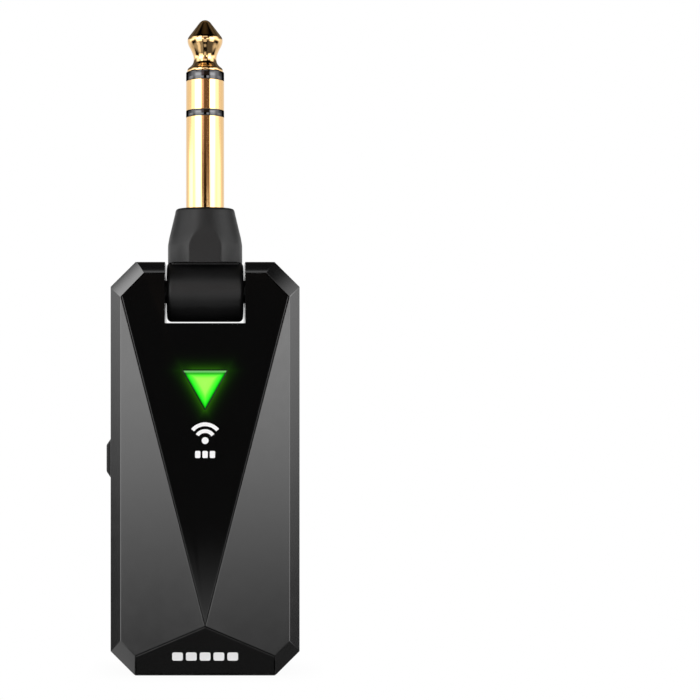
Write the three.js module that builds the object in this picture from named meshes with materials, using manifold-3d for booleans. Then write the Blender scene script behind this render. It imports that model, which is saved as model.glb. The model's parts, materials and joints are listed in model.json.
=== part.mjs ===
// A wireless guitar transmitter: a faceted pocket housing with a folding 6.35 mm three-contact plug.
// Millimetres. +Z runs from the bottom end to the plug, -Y out of the front face, +X to the right.
// The origin lies on the bottom end face, midway between the housing's side walls.
import * as THREE from 'three';
import { mergeVertices } from 'three/addons/utils/BufferGeometryUtils.js';
import Module from 'manifold-3d';

const wasm = await Module();
wasm.setup();

// ---------------------------------------------------------------- driving dimensions

const BODY_HALF_WIDTH = 15.5;
const BODY_HEIGHT = 67.8;
const BACK_Y = 5.8;
const FRONT_EDGE_Y = -5.5; // where the side walls meet the front bevels
const PARTING_Y = -0.6; // the two covers meet on this plane, through the hinge axis
const BODY_CENTRE = new THREE.Vector3(0, 0, BODY_HEIGHT / 2);

const CORNER_X = 11.4; // the end faces stop here and the corner cuts begin
const LOW_CORNER_Z = 3.96;
const HIGH_CORNER_Z = 63.72;
const BACK_BEVEL = 0.6;

const BEVEL_X = 13.8; // inner edge of the side bevels
const BEVEL_Y = -6.58;
const BEVEL_LOW_Z = 5.85;
const BEVEL_HIGH_Z = 62.06;
const TOP_BEVEL_X = 9.97; // where the top bevel meets the corner bevels
const TOP_BEVEL_Z = 66.0;
const APEX_Y = -8.18; // the front's thickest point, where its four large facets meet
const APEX_Z = 8.55;
const CHEVRON_Z = 3.5; // height of the lower facet's outer corners
const BOTTOM_STRIP = 0.32;

const WALL = 1.3;
const FRONT_WALL = 1.8;
const PANEL = 0.75; // thickness of the two glossy panels
const PANEL_GAP = 0.15;

const HINGE_Z = 63.04;
const SLOT_HALF_WIDTH = 6.57;
const SLOT_FLOOR_Z = 57.75;
const BARREL_RADIUS = 5.0;
const BARREL_HALF_LENGTH = 6.35;
const BARREL_FILLET = 0.8;
const PIN_RADIUS = 1.92;
const PIN_BORE = 1.2;

const PLUG_RADIUS = 3.175; // a standard 6.35 mm plug
const BASE_TOP_Z = 76.9;
const BASE_FOOT_Z = 68.0; // the base's oval block overhangs the hinge barrel here
const BASE_HALF_WIDTH = 6.2;
const BASE_SHOULDER_Z = 71.1; // the block tapers above here
const BASE_TOP_HALF_WIDTH = 4.96;
const BASE_FILLET = 0.5;
const BASE_DEPTH_RATIO = 0.895; // the block is an oval, narrower from front to back
const BORE_FLOOR_Z = 68.4;
const WIRE_HOLE_RADIUS = 1.6;
const NECK = { halfWidth: 5.6, halfDepth: 2.2 }; // joins the block to the barrel
const CAVITY = { halfWidth: 3.3, halfDepth: 1.3, low: 61.2 }; // for the plug's lugs and wires

const BUTTON_Z = 35.5;
const BUTTON_Y = [-3.9, -0.75];
const USB_Z = 18.9;
const USB_Y = -2.3;

const BOARD_Y = [-1.9, -1.1];
const BOSS_X = 11.2;
const BOSS_Z = [7.2, 53.4];
const BOSS_RADIUS = 2.0;

const LAMP = { top: 50.1, tip: 43.6, halfWidth: 3.7 };

const ROUND = 24; // sides of a turned piece
const WELD = 1e-3; // corners closer than this are one corner
const CLEAR = 0.05; // running and assembly clearance

// ---------------------------------------------------------------- solids

function closedGeometry(geometry) {
  geometry.deleteAttribute('normal');
  geometry.deleteAttribute('uv');
  const welded = mergeVertices(geometry, WELD);
  const kept = [];
  for (let i = 0; i < welded.index.count; i += 3) {
    const [a, b, c] = [0, 1, 2].map((corner) => welded.index.getX(i + corner));
    if (a !== b && b !== c && c !== a) kept.push(a, b, c);
  }
  welded.setIndex(kept);
  return welded;
}

function solid(geometry) {
  const closed = closedGeometry(geometry);
  const mesh = new wasm.Mesh({
    numProp: 3,
    vertProperties: new Float32Array(closed.attributes.position.array),
    triVerts: new Uint32Array(closed.index.array),
  });
  return new wasm.Manifold(mesh);
}

function box([x0, x1], [y0, y1], [z0, z1]) {
  const geometry = new THREE.BoxGeometry(x1 - x0, y1 - y0, z1 - z0);
  geometry.translate((x0 + x1) / 2, (y0 + y1) / 2, (z0 + z1) / 2);
  return solid(geometry);
}

// A flat outline in x and z, extended from front to back.
function prism(outline, [front, back]) {
  const shape = new THREE.Shape(outline.map(([x, z]) => new THREE.Vector2(x, z)));
  const geometry = new THREE.ExtrudeGeometry(shape, { depth: back - front, bevelEnabled: false });
  geometry.rotateX(Math.PI / 2);
  geometry.translate(0, back, 0);
  return solid(geometry);
}

// A profile of [radius, distance along the axis], turned about a line parallel to x, y or z.
function turned(profile, { axis = 'z', centre = [0, PARTING_Y, 0], sides = ROUND } = {}) {
  const points = profile.map(([radius, along]) => new THREE.Vector2(radius, along));
  const geometry = new THREE.LatheGeometry(points, sides);
  if (axis === 'z') geometry.rotateX(Math.PI / 2);
  if (axis === 'x') geometry.rotateZ(-Math.PI / 2);
  geometry.translate(...centre);
  return solid(geometry);
}

const rod = (radius, [from, to], placing) => turned(
  [[0, from], [radius, from], [radius, to], [0, to]],
  placing,
);

const tube = (inner, outer, [from, to], placing) => turned(
  [[inner, from], [outer, from], [outer, to], [inner, to], [inner, from]],
  placing,
);

function arc(centre, radius, fromDegrees, toDegrees, steps) {
  return Array.from({ length: steps + 1 }, (_, i) => {
    const angle = THREE.MathUtils.degToRad(fromDegrees + (toDegrees - fromDegrees) * i / steps);
    return [centre[0] + radius * Math.cos(angle), centre[1] + radius * Math.sin(angle)];
  });
}

// A round-cornered rectangle about the origin.
function roundedRectangle(width, height, radius, steps = 4) {
  const [x, y] = [width / 2 - radius, height / 2 - radius];
  return [
    ...arc([x, y], radius, 0, 90, steps),
    ...arc([-x, y], radius, 90, 180, steps),
    ...arc([-x, -y], radius, 180, 270, steps),
    ...arc([x, -y], radius, 270, 360, steps),
  ];
}

const moved = (outline, [dx, dz]) => outline.map(([x, z]) => [x + dx, z + dz]);

const mirrored = (points) => points.map(([x, y, z]) => [-x, y, z]);

// Moves each side of a convex outline, listed anticlockwise, inwards by the same distance.
function inset(outline, distance) {
  const lines = outline.map(([x, z], i) => {
    const [nextX, nextZ] = outline[(i + 1) % outline.length];
    const length = Math.hypot(nextX - x, nextZ - z);
    const normal = [(nextZ - z) / length, (x - nextX) / length];
    return { normal, reach: normal[0] * x + normal[1] * z - distance };
  });
  return lines.map((line, i) => {
    const before = lines[(i + lines.length - 1) % lines.length];
    const determinant = before.normal[0] * line.normal[1] - before.normal[1] * line.normal[0];
    return [
      (before.reach * line.normal[1] - before.normal[1] * line.reach) / determinant,
      (before.normal[0] * line.reach - before.reach * line.normal[0]) / determinant,
    ];
  });
}

// A wire: a round section swept along a smooth route.
function wire(route, radius, { sides = 6, steps = 14 } = {}) {
  const curve = new THREE.CatmullRomCurve3(route.map((point) => new THREE.Vector3(...point)));
  const section = new THREE.Shape(
    Array.from({ length: sides }, (_, i) => {
      const angle = 2 * Math.PI * i / sides;
      return new THREE.Vector2(radius * Math.cos(angle), radius * Math.sin(angle));
    }),
  );
  return solid(new THREE.ExtrudeGeometry(section, { steps, extrudePath: curve }));
}

// ---------------------------------------------------------------- the faceted body

const slope = (from, to) => (to[0] - from[0]) / (to[1] - from[1]);
const vFacetY = (z) => APEX_Y + (z - APEX_Z) * slope([APEX_Y, APEX_Z], [BEVEL_Y, BEVEL_HIGH_Z]);
const sideFacetY = (x) => APEX_Y + x * slope([APEX_Y, 0], [BEVEL_Y, BEVEL_X]);
const CHEVRON_SLOPE = slope([APEX_Y, APEX_Z], [sideFacetY(CORNER_X), CHEVRON_Z]);
const chevronY = (z) => APEX_Y + (z - APEX_Z) * CHEVRON_SLOPE;

const apex = [0, APEX_Y, APEX_Z];
const bevelHigh = [BEVEL_X, BEVEL_Y, BEVEL_HIGH_Z];
const bevelLow = [BEVEL_X, BEVEL_Y, BEVEL_LOW_Z];
const sideEdge = [BODY_HALF_WIDTH, FRONT_EDGE_Y, BODY_HEIGHT / 2];
const topBevelEnd = [TOP_BEVEL_X, vFacetY(TOP_BEVEL_Z), TOP_BEVEL_Z];
const chevronCorner = [CORNER_X, sideFacetY(CORNER_X), CHEVRON_Z];
const highCorner = [BODY_HALF_WIDTH, FRONT_EDGE_Y, HIGH_CORNER_Z];
const lowCorner = [BODY_HALF_WIDTH, FRONT_EDGE_Y, LOW_CORNER_Z];

const MIDDLE_FACETS = [
  [apex, bevelHigh, mirrored([bevelHigh])[0]],
  [apex, chevronCorner, mirrored([chevronCorner])[0]],
  [topBevelEnd, mirrored([topBevelEnd])[0], [0, FRONT_EDGE_Y, BODY_HEIGHT]],
  [
    [0, chevronY(BOTTOM_STRIP), BOTTOM_STRIP],
    [CORNER_X, chevronY(BOTTOM_STRIP), BOTTOM_STRIP],
    [0, chevronY(0) + BOTTOM_STRIP, 0],
  ],
];

const RIGHT_FACETS = [
  [apex, bevelHigh, bevelLow],
  [bevelHigh, bevelLow, sideEdge],
  [highCorner, bevelHigh, topBevelEnd],
  [bevelLow, chevronCorner, lowCorner],
];

const FRONT_FACETS = [...MIDDLE_FACETS, ...RIGHT_FACETS, ...RIGHT_FACETS.map(mirrored)];

const BODY_OUTLINE = [
  [-CORNER_X, 0],
  [CORNER_X, 0],
  [BODY_HALF_WIDTH, LOW_CORNER_Z],
  [BODY_HALF_WIDTH, HIGH_CORNER_Z],
  [CORNER_X, BODY_HEIGHT],
  [-CORNER_X, BODY_HEIGHT],
  [-BODY_HALF_WIDTH, HIGH_CORNER_Z],
  [-BODY_HALF_WIDTH, LOW_CORNER_Z],
];

// Each side of the outline has a 45 degree bevel along the back face.
const BACK_BEVELS = BODY_OUTLINE.map(([x, z], i) => {
  const [nextX, nextZ] = BODY_OUTLINE[(i + 1) % BODY_OUTLINE.length];
  const [innerX, innerZ] = inset(BODY_OUTLINE, BACK_BEVEL)[i];
  const rimY = BACK_Y - BACK_BEVEL;
  return [[x, rimY, z], [nextX, rimY, nextZ], [innerX, BACK_Y, innerZ]];
});

const CUT_SIZE = 200;

// A block that fills everything outside the plane through three points, less an inset.
function beyondPlane(points, depth) {
  const [a, b, c] = points.map((point) => new THREE.Vector3(...point));
  const normal = b.sub(a).cross(c.sub(a)).normalize();
  if (normal.dot(a.clone().sub(BODY_CENTRE)) < 0) normal.negate();
  const geometry = new THREE.BoxGeometry(CUT_SIZE, CUT_SIZE, CUT_SIZE);
  geometry.translate(0, 0, CUT_SIZE / 2 - depth);
  const turn = new THREE.Quaternion().setFromUnitVectors(new THREE.Vector3(0, 0, 1), normal);
  geometry.applyQuaternion(turn);
  geometry.translate(a.x, a.y, a.z);
  return solid(geometry);
}

// The whole housing as one block, with its sides and back moved in by wall and its front by front.
function bodyBlock(wall, front) {
  let block = prism(inset(BODY_OUTLINE, wall), [APEX_Y - 1, BACK_Y - wall]);
  for (const facet of FRONT_FACETS) {
    block = block.subtract(beyondPlane(facet, front));
  }
  for (const bevel of BACK_BEVELS) {
    block = block.subtract(beyondPlane(bevel, wall));
  }
  return block;
}

const ALL_Y = [APEX_Y - 2, BACK_Y + 2];
const slot = box([-SLOT_HALF_WIDTH, SLOT_HALF_WIDTH], ALL_Y, [SLOT_FLOOR_Z, BODY_HEIGHT + 2]);
const slotWalls = box(
  [-SLOT_HALF_WIDTH - WALL, SLOT_HALF_WIDTH + WALL],
  ALL_Y,
  [SLOT_FLOOR_Z - WALL, BODY_HEIGHT + 2],
);
const outerBlock = bodyBlock(0, 0);
const cavity = bodyBlock(WALL, FRONT_WALL).subtract(slotWalls);

const BUSH_RADIUS = 2.6;
const bushHole = rod(BUSH_RADIUS + CLEAR, [-SLOT_HALF_WIDTH - 2 * WALL, SLOT_HALF_WIDTH + 2 * WALL], {
  axis: 'x',
  centre: [0, PARTING_Y, HINGE_Z],
});

const bossPlaces = BOSS_Z.flatMap((z) => [[-BOSS_X, z], [BOSS_X, z]]);
const onBoss = ([x, z]) => ({ axis: 'y', centre: [x, 0, z], sides: 16 });

// ---------------------------------------------------------------- front cover and its panels

const V_OUTLINE = [
  [0, APEX_Z - 0.4], // the two recesses run into each other here
  [BEVEL_X, BEVEL_HIGH_Z],
  [TOP_BEVEL_X, TOP_BEVEL_Z],
  [-TOP_BEVEL_X, TOP_BEVEL_Z],
  [-BEVEL_X, BEVEL_HIGH_Z],
];
const CHEVRON_OUTLINE = [
  [-CORNER_X, BOTTOM_STRIP],
  [CORNER_X, BOTTOM_STRIP],
  [CORNER_X, CHEVRON_Z],
  [0, APEX_Z],
  [-CORNER_X, CHEVRON_Z],
];
const LAMP_OUTLINE = [
  [0, LAMP.tip],
  [LAMP.halfWidth, LAMP.top],
  [-LAMP.halfWidth, LAMP.top],
];
const FRONT_Y = [APEX_Y - 1, PARTING_Y];

const belowPanels = bodyBlock(0, PANEL + PANEL_GAP);
const recess = (outline) => prism(outline, FRONT_Y).subtract(belowPanels);
const lampHole = prism(LAMP_OUTLINE, FRONT_Y);

const buttonHole = box(
  [-BODY_HALF_WIDTH - 1, -BODY_HALF_WIDTH + WALL + 0.1],
  [BUTTON_Y[0] - 0.15, PARTING_Y],
  [BUTTON_Z - 3.48, BUTTON_Z + 3.48],
);
const USB_SIZE = { width: 8.94, height: 3.26, wall: 0.3, mouthX: 15.3, backX: 8.2 };

// An outline in z and y, extended from one x to another.
function sidePrism(outline, [from, to]) {
  const shape = new THREE.Shape(outline.map(([z, y]) => new THREE.Vector2(z, y)));
  const geometry = new THREE.ExtrudeGeometry(shape, { depth: to - from, bevelEnabled: false });
  geometry.rotateY(Math.PI / 2);
  geometry.rotateX(Math.PI);
  geometry.translate(from, 0, 0);
  return solid(geometry);
}

const usbOutline = (margin) => moved(
  roundedRectangle(
    USB_SIZE.width + 2 * margin,
    USB_SIZE.height + 2 * margin,
    USB_SIZE.height / 2 + margin,
    6,
  ),
  [USB_Z, -USB_Y],
);
const usbHole = sidePrism(usbOutline(0.1), [13, BODY_HALF_WIDTH + 1]);

function frontCover() {
  let cover = outerBlock.intersect(box([-20, 20], FRONT_Y, [-1, BODY_HEIGHT + 1]));
  cover = cover.subtract(cavity);
  for (const place of bossPlaces) {
    cover = cover.add(rod(BOSS_RADIUS, [FRONT_EDGE_Y - 0.4, PARTING_Y], onBoss(place)));
    cover = cover.subtract(rod(0.85, [-4.2, PARTING_Y + 1], onBoss(place)));
  }
  cover = cover.subtract(slot);
  cover = cover.subtract(bushHole);
  cover = cover.subtract(recess(V_OUTLINE));
  cover = cover.subtract(recess(CHEVRON_OUTLINE));
  cover = cover.subtract(lampHole);
  cover = cover.subtract(buttonHole);
  return cover.subtract(usbHole);
}

function panel(outline) {
  return prism(inset(outline, PANEL_GAP), FRONT_Y)
    .intersect(outerBlock)
    .subtract(bodyBlock(0, PANEL));
}

const frontWindow = panel(V_OUTLINE).subtract(slot).subtract(lampHole);
const lowerTrim = panel(CHEVRON_OUTLINE);

const lampFlange = prism(inset(LAMP_OUTLINE, -0.8), [-5.1, -4.5]);
const lampLens = prism(inset(LAMP_OUTLINE, 0.1), [APEX_Y, -4.5])
  .intersect(bodyBlock(0, 0.12))
  .add(lampFlange);
const lampBaffle = prism(inset(LAMP_OUTLINE, -1.3), [-4.45, BOARD_Y[0] - CLEAR])
  .subtract(prism(inset(LAMP_OUTLINE, -0.5), [-5, 0]));

// ---------------------------------------------------------------- rear cover and screws

const SCREW = { headRadius: 1.5, headY: [4.3, 5.2], shankRadius: 0.8, tipY: -3.9 };
const LABEL = { width: 17, height: 30, z: 33, depth: 0.2 };

function rearCover() {
  let cover = outerBlock.intersect(box([-20, 20], [PARTING_Y, BACK_Y + 1], [-1, BODY_HEIGHT + 1]));
  cover = cover.subtract(cavity);
  for (const place of bossPlaces) {
    cover = cover.add(rod(BOSS_RADIUS + 0.3, [PARTING_Y, BACK_Y - 0.4], onBoss(place)));
    cover = cover.subtract(rod(1.0, [PARTING_Y - 1, BACK_Y], onBoss(place)));
    cover = cover.subtract(rod(1.65, [SCREW.headY[0], BACK_Y + 1], onBoss(place)));
  }
  const label = moved(roundedRectangle(LABEL.width, LABEL.height, 1.5), [0, LABEL.z]);
  cover = cover.subtract(prism(label, [BACK_Y - LABEL.depth, BACK_Y + 1]));
  cover = cover.subtract(slot);
  return cover.subtract(bushHole);
}

// A pan-head screw with a cross recess; its head faces the back.
function screw(place) {
  const [x, z] = place;
  const driveY = [SCREW.headY[1] - 0.5, SCREW.headY[1] + 1];
  return rod(SCREW.headRadius, [SCREW.headY[0] + CLEAR, SCREW.headY[1]], onBoss(place))
    .add(rod(SCREW.shankRadius, [SCREW.tipY, SCREW.headY[1] - 0.6], onBoss(place)))
    .subtract(box([x - 0.9, x + 0.9], driveY, [z - 0.18, z + 0.18]))
    .subtract(box([x - 0.18, x + 0.18], driveY, [z - 0.9, z + 0.9]));
}

// ---------------------------------------------------------------- circuit board

const BOARD = { halfWidth: 13.0, neck: 8.6, low: 4.0, shoulderLow: 10.2, shoulderHigh: 50.4, high: 56.0 };
const boardOutline = [
  [-BOARD.neck, BOARD.low],
  [BOARD.neck, BOARD.low],
  [BOARD.neck, BOARD.shoulderLow],
  [BOARD.halfWidth, BOARD.shoulderLow],
  [BOARD.halfWidth, USB_Z - 4.7],
  [USB_SIZE.backX - 0.2, USB_Z - 4.7],
  [USB_SIZE.backX - 0.2, USB_Z + 4.7],
  [BOARD.halfWidth, USB_Z + 4.7],
  [BOARD.halfWidth, BOARD.shoulderHigh],
  [BOARD.neck, BOARD.shoulderHigh],
  [BOARD.neck, BOARD.high],
  [-BOARD.neck, BOARD.high],
  [-BOARD.neck, BOARD.shoulderHigh],
  [-BOARD.halfWidth, BOARD.shoulderHigh],
  [-BOARD.halfWidth, BOARD.shoulderLow],
  [-BOARD.neck, BOARD.shoulderLow],
];

// A part soldered to the board's front: centre x and z, width, height and thickness.
function onBoard([x, z], [width, height], thickness) {
  return box(
    [x - width / 2, x + width / 2],
    [BOARD_Y[0] - thickness, BOARD_Y[0]],
    [z - height / 2, z + height / 2],
  );
}

const CAN = { place: [0, 31], size: [13, 14], height: 2.0, sheet: 0.2 };
const shieldCan = onBoard(CAN.place, CAN.size, CAN.height).subtract(
  onBoard(CAN.place, CAN.size.map((side) => side - 2 * CAN.sheet), CAN.height - CAN.sheet),
);

const usbShell = sidePrism(usbOutline(0), [USB_SIZE.backX, USB_SIZE.mouthX]).subtract(
  sidePrism(usbOutline(-USB_SIZE.wall), [USB_SIZE.backX + USB_SIZE.wall, USB_SIZE.mouthX + 1]),
);
const usbTongue = sidePrism(usbOutline(-USB_SIZE.wall - CLEAR), [8.6, 9.6])
  .add(box([9.5, 14.6], [USB_Y - 0.35, USB_Y + 0.35], [USB_Z - 3.35, USB_Z + 3.35]));

const SWITCH_X = [-12.3, -9.3];
const PLUNGER_Y = [-3.4, -2.4];
const switchBody = box(SWITCH_X, [-3.9, BOARD_Y[0]], [BUTTON_Z - 2.3, BUTTON_Z + 2.3]).subtract(
  box([-13, -10.9], PLUNGER_Y.map((y, i) => y + (i - 0.5) * 0.1), [BUTTON_Z - 0.95, BUTTON_Z + 0.95]),
);
const switchPlunger = box([-12.8, -11.4], PLUNGER_Y, [BUTTON_Z - 0.9, BUTTON_Z + 0.9]);

// ---------------------------------------------------------------- power button

const BUTTON_OUTLINE = [
  [-14.1, BUTTON_Z - 3.33],
  [-14.1, BUTTON_Z + 3.33],
  [-BODY_HALF_WIDTH, BUTTON_Z + 3.33],
  [-16.27, BUTTON_Z + 2.17],
  [-16.27, BUTTON_Z - 2.17],
  [-BODY_HALF_WIDTH, BUTTON_Z - 3.33],
].reverse();
const powerButton = prism(BUTTON_OUTLINE, BUTTON_Y)
  .add(box([-14.1, -13.5], [-4.1, BUTTON_Y[1]], [BUTTON_Z - 4.2, BUTTON_Z + 4.2]))
  .add(box([-13.6, -12.85], PLUNGER_Y, [BUTTON_Z - 1, BUTTON_Z + 1]));

// ---------------------------------------------------------------- battery

const BATTERY = { width: 24, y: [-0.3, 4.1], z: [12.5, 46.5] };
const batteryHeight = BATTERY.z[1] - BATTERY.z[0];
const batteryOutline = roundedRectangle(BATTERY.width, batteryHeight, 1.2, 3);
const batteryCell = prism(
  moved(batteryOutline, [0, (BATTERY.z[0] + BATTERY.z[1]) / 2]),
  BATTERY.y,
);

const batteryLead = (x) => wire([
  [x, 1.1, 48.9],
  [x, 1.3, 50.0],
  [x, 0.6, 51.2],
  [x, -0.3, 52.0],
  [x, -0.6, 53.4],
], 0.4);

// ---------------------------------------------------------------- folding plug: base and hinge

const onHinge = { axis: 'x', centre: [0, PARTING_Y, HINGE_Z] };

function plugBase() {
  const filletStart = BARREL_HALF_LENGTH - BARREL_FILLET;
  const filletRadius = BARREL_RADIUS - BARREL_FILLET;
  const barrel = turned([
    [0, -BARREL_HALF_LENGTH],
    ...arc([filletRadius, -filletStart], BARREL_FILLET, -90, 0, 4),
    ...arc([filletRadius, filletStart], BARREL_FILLET, 0, 90, 4),
    [0, BARREL_HALF_LENGTH],
  ], { ...onHinge, sides: 32 });
  const taper = turned([
    [0, BASE_FOOT_Z],
    [BASE_HALF_WIDTH, BASE_FOOT_Z],
    [BASE_HALF_WIDTH, BASE_SHOULDER_Z],
    [BASE_TOP_HALF_WIDTH, BASE_TOP_Z - BASE_FILLET],
    ...arc([BASE_TOP_HALF_WIDTH - BASE_FILLET, BASE_TOP_Z - BASE_FILLET], BASE_FILLET, 20, 90, 3),
    [0, BASE_TOP_Z],
  ], { centre: [0, 0, 0], sides: 36 }).scale([1, BASE_DEPTH_RATIO, 1]).translate([0, PARTING_Y, 0]);
  const about = (half) => [PARTING_Y - half, PARTING_Y + half];
  const flats = box([-10, 10], about(BARREL_RADIUS), [BASE_FOOT_Z - 1, BASE_TOP_Z + 1]);
  const neck = box(
    [-NECK.halfWidth, NECK.halfWidth],
    about(NECK.halfDepth),
    [HINGE_Z + 3, BASE_FOOT_Z + 0.3],
  );
  const cavity = box(
    [-CAVITY.halfWidth, CAVITY.halfWidth],
    about(CAVITY.halfDepth),
    [CAVITY.low, BORE_FLOOR_Z + 0.1],
  );
  return taper.intersect(flats)
    .add(neck)
    .add(barrel)
    .subtract(rod(PLUG_RADIUS + CLEAR, [BORE_FLOOR_Z, BASE_TOP_Z + 1]))
    .subtract(cavity)
    .subtract(rod(WIRE_HOLE_RADIUS, [BASE_FOOT_Z - 0.5, BORE_FLOOR_Z + 0.1]))
    .subtract(rod(PIN_RADIUS + 0.02, [-10, 10], onHinge));
}

// The hinge pieces of one side, as distances from the middle: side is -1 or 1.
function hingeSide(side) {
  const span = (from, to) => (side > 0 ? [from, to] : [-to, -from]);
  const wallX = SLOT_HALF_WIDTH + CLEAR;
  const flangeX = SLOT_HALF_WIDTH + WALL + CLEAR;
  return {
    pin: tube(PIN_BORE, PIN_RADIUS, span(3.5, 11.2), onHinge),
    bush: tube(PIN_RADIUS + 0.06, BUSH_RADIUS, span(wallX, flangeX + 0.1), onHinge)
      .add(tube(PIN_RADIUS + 0.06, 3.25, span(flangeX, flangeX + 0.5), onHinge)),
    washer: tube(PIN_RADIUS + 0.04, 3.0, span(flangeX + 0.55, flangeX + 0.95), onHinge),
    clip: tube(PIN_RADIUS + 0.02, 2.9, span(flangeX + 1.0, flangeX + 1.6), onHinge),
  };
}

// ---------------------------------------------------------------- folding plug: contacts

// Heights of the faces between the contacts and their insulating rings.
const SLEEVE_TOP = 92.14;
const LOWER_RING_TOP = 93.22;
const RING_TOP = 98.19;
const UPPER_RING_TOP = 99.63;

const sleeve = tube(2.6, PLUG_RADIUS, [69.8, SLEEVE_TOP]);

// A tube that runs down inside the plug, with a full-width collar at its upper end.
const collared = (inner, outer, low, collar) => turned([
  [inner, low],
  [outer, low],
  [outer, collar[0]],
  [PLUG_RADIUS, collar[0]],
  [PLUG_RADIUS, collar[1]],
  [inner, collar[1]],
  [inner, low],
]);
const lowerInsulator = collared(2.1, 2.55, 69.2, [SLEEVE_TOP, LOWER_RING_TOP]);
const ringContact = collared(1.55, 2.05, 68.6, [LOWER_RING_TOP, RING_TOP]);
const upperInsulator = collared(1.05, 1.5, 68.0, [RING_TOP, UPPER_RING_TOP]);

const tipContact = turned([
  [0, 67.2],
  [1.0, 67.2],
  [1.0, UPPER_RING_TOP],
  [3.0, UPPER_RING_TOP],
  [3.0, 99.95],
  [2.75, 100.2],
  [2.25, 100.75],
  [1.98, 101.5],
  [1.92, 102.2],
  [2.0, 102.9],
  [2.3, 103.8],
  [2.75, 104.65],
  [2.93, 105.1],
  [2.8, 105.5],
  [0.75, 108.1],
  [0.45, 108.36],
  [0, 108.44],
]);

// A solder lug: a flat ring under a contact's lower end, with a tail bent down at one side.
function lug(inner, outer, top, tailX) {
  const tail = box([Math.min(tailX, tailX + 0.35), Math.max(tailX, tailX + 0.35)],
    [PARTING_Y - 0.6, PARTING_Y + 0.6], [top - 2.2, top]);
  return tube(inner, outer, [top - 0.3, top]).add(tail);
}

const tipLug = rod(1.2, [66.85, 67.15]).add(
  box([-1.2, -0.85], [PARTING_Y - 0.5, PARTING_Y + 0.5], [65.2, 67.15]),
);
const sleeveLug = lug(2.65, 3.15, 69.75, -3.1);

const PLUG_WIRES = {
  sleeve: [[-2.4, -0.6, 66.9], [-2.2, -0.6, 65.4], [-2.5, -0.6, 63.9], [-3.6, -0.6, 63.1],
    [-5.5, -0.6, 63.04], [-8.5, -0.6, 63.04], [-11.4, -0.6, 63.04]],
  tip: [[0.7, -1.1, 66.3], [1.0, -1.3, 65.0], [1.9, -1.15, 63.7], [3.4, -1.1, 63.08],
    [5.5, -1.1, 63.04], [8.5, -1.1, 63.04], [11.4, -1.1, 63.04]],
  ring: [[2.55, 0.1, 67.9], [2.4, 0.1, 66.2], [2.3, 0.0, 64.6], [2.9, -0.1, 63.4],
    [4.4, -0.1, 63.06], [7.5, -0.1, 63.04], [11.4, -0.1, 63.04]],
};
const BOARD_WIRES = {
  sleeve: [[-11.75, -0.6, 63.04], [-12.5, -0.8, 62.3], [-12.4, -1.6, 60.2], [-10.6, -2.4, 57.9],
    [-8.8, -2.7, 56.3], [-7.4, -2.45, 54.6], [-7.0, -2.4, 53.2]],
  tip: [[11.75, -1.1, 63.04], [12.6, -1.3, 62.3], [12.5, -2.2, 60.2], [10.6, -3.1, 57.7],
    [8.8, -3.4, 56.1], [7.2, -3.1, 54.9], [6.2, -2.4, 53.4]],
  ring: [[11.75, -0.1, 63.04], [12.4, -0.2, 62.0], [12.4, -1.0, 60.0], [10.8, -2.0, 57.8],
    [9.0, -2.5, 56.0], [8.3, -2.4, 54.6], [8.0, -2.38, 53.2]],
};

// ---------------------------------------------------------------- assembly

const FINISH = {
  shell: { color: 0x2b2b2c, roughness: 0.42, metalness: 0 },
  gloss: { color: 0x0b0b0c, roughness: 0.08, metalness: 0 },
  matte: { color: 0x222223, roughness: 0.6, metalness: 0 },
  lamp: { color: 0x38e51c, roughness: 0.25, metalness: 0 },
  white: { color: 0xe6e4de, roughness: 0.5, metalness: 0 },
  board: { color: 0x14472c, roughness: 0.45, metalness: 0 },
  chip: { color: 0x18181a, roughness: 0.5, metalness: 0 },
  ceramic: { color: 0xd8d2c2, roughness: 0.5, metalness: 0 },
  steel: { color: 0xb4b6b8, roughness: 0.3, metalness: 1 },
  gold: { color: 0xe2b36c, roughness: 0.12, metalness: 1 },
  foil: { color: 0xc6c8cb, roughness: 0.35, metalness: 0.8 },
  foam: { color: 0x3a3a3c, roughness: 0.9, metalness: 0 },
  red: { color: 0xb02018, roughness: 0.5, metalness: 0 },
  black: { color: 0x141414, roughness: 0.5, metalness: 0 },
};

const group = new THREE.Group();

function part(name, shape, finish) {
  const mesh = shape.getMesh();
  const geometry = new THREE.BufferGeometry();
  geometry.setAttribute('position', new THREE.BufferAttribute(mesh.vertProperties, 3));
  geometry.setIndex(new THREE.BufferAttribute(mesh.triVerts, 1));
  const material = new THREE.MeshStandardMaterial(FINISH[finish]);
  const piece = new THREE.Mesh(closedGeometry(geometry), material);
  piece.name = name;
  group.add(piece);
}

part('front_cover', frontCover(), 'shell');
part('rear_cover', rearCover(), 'shell');
part('front_window', frontWindow, 'gloss');
part('lower_front_trim', lowerTrim, 'gloss');
part('lamp_lens', lampLens, 'lamp');
part('lamp_baffle', lampBaffle, 'matte');
bossPlaces.forEach((place, i) => part(`cover_screw_${i + 1}`, screw(place), 'steel'));

part('main_board', prism(boardOutline, BOARD_Y), 'board');
part('status_led', onBoard([0, 47.6], [3.5, 2.8], 0.9), 'white');
part('radio_chip', onBoard(CAN.place, [6, 6], 0.9), 'chip');
part('shield_can', shieldCan, 'steel');
part('audio_codec_chip', onBoard([-7, 18.5], [5, 5], 0.9), 'chip');
part('charger_chip', onBoard([4.6, 13.2], [3, 3], 0.8), 'chip');
part('power_inductor', onBoard([0.6, 18.6], [4, 4], 2.0), 'chip');
part('clock_crystal', onBoard([-9.6, 26.5], [3.2, 2.5], 0.7), 'steel');
part('chip_antenna', onBoard([0, 6.2], [7, 2], 1.1), 'ceramic');
part('usb_socket_shell', usbShell, 'steel');
part('usb_socket_tongue', usbTongue, 'black');
part('switch_body', switchBody, 'black');
part('switch_plunger', switchPlunger, 'white');
part('power_button', powerButton, 'matte');

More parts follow.
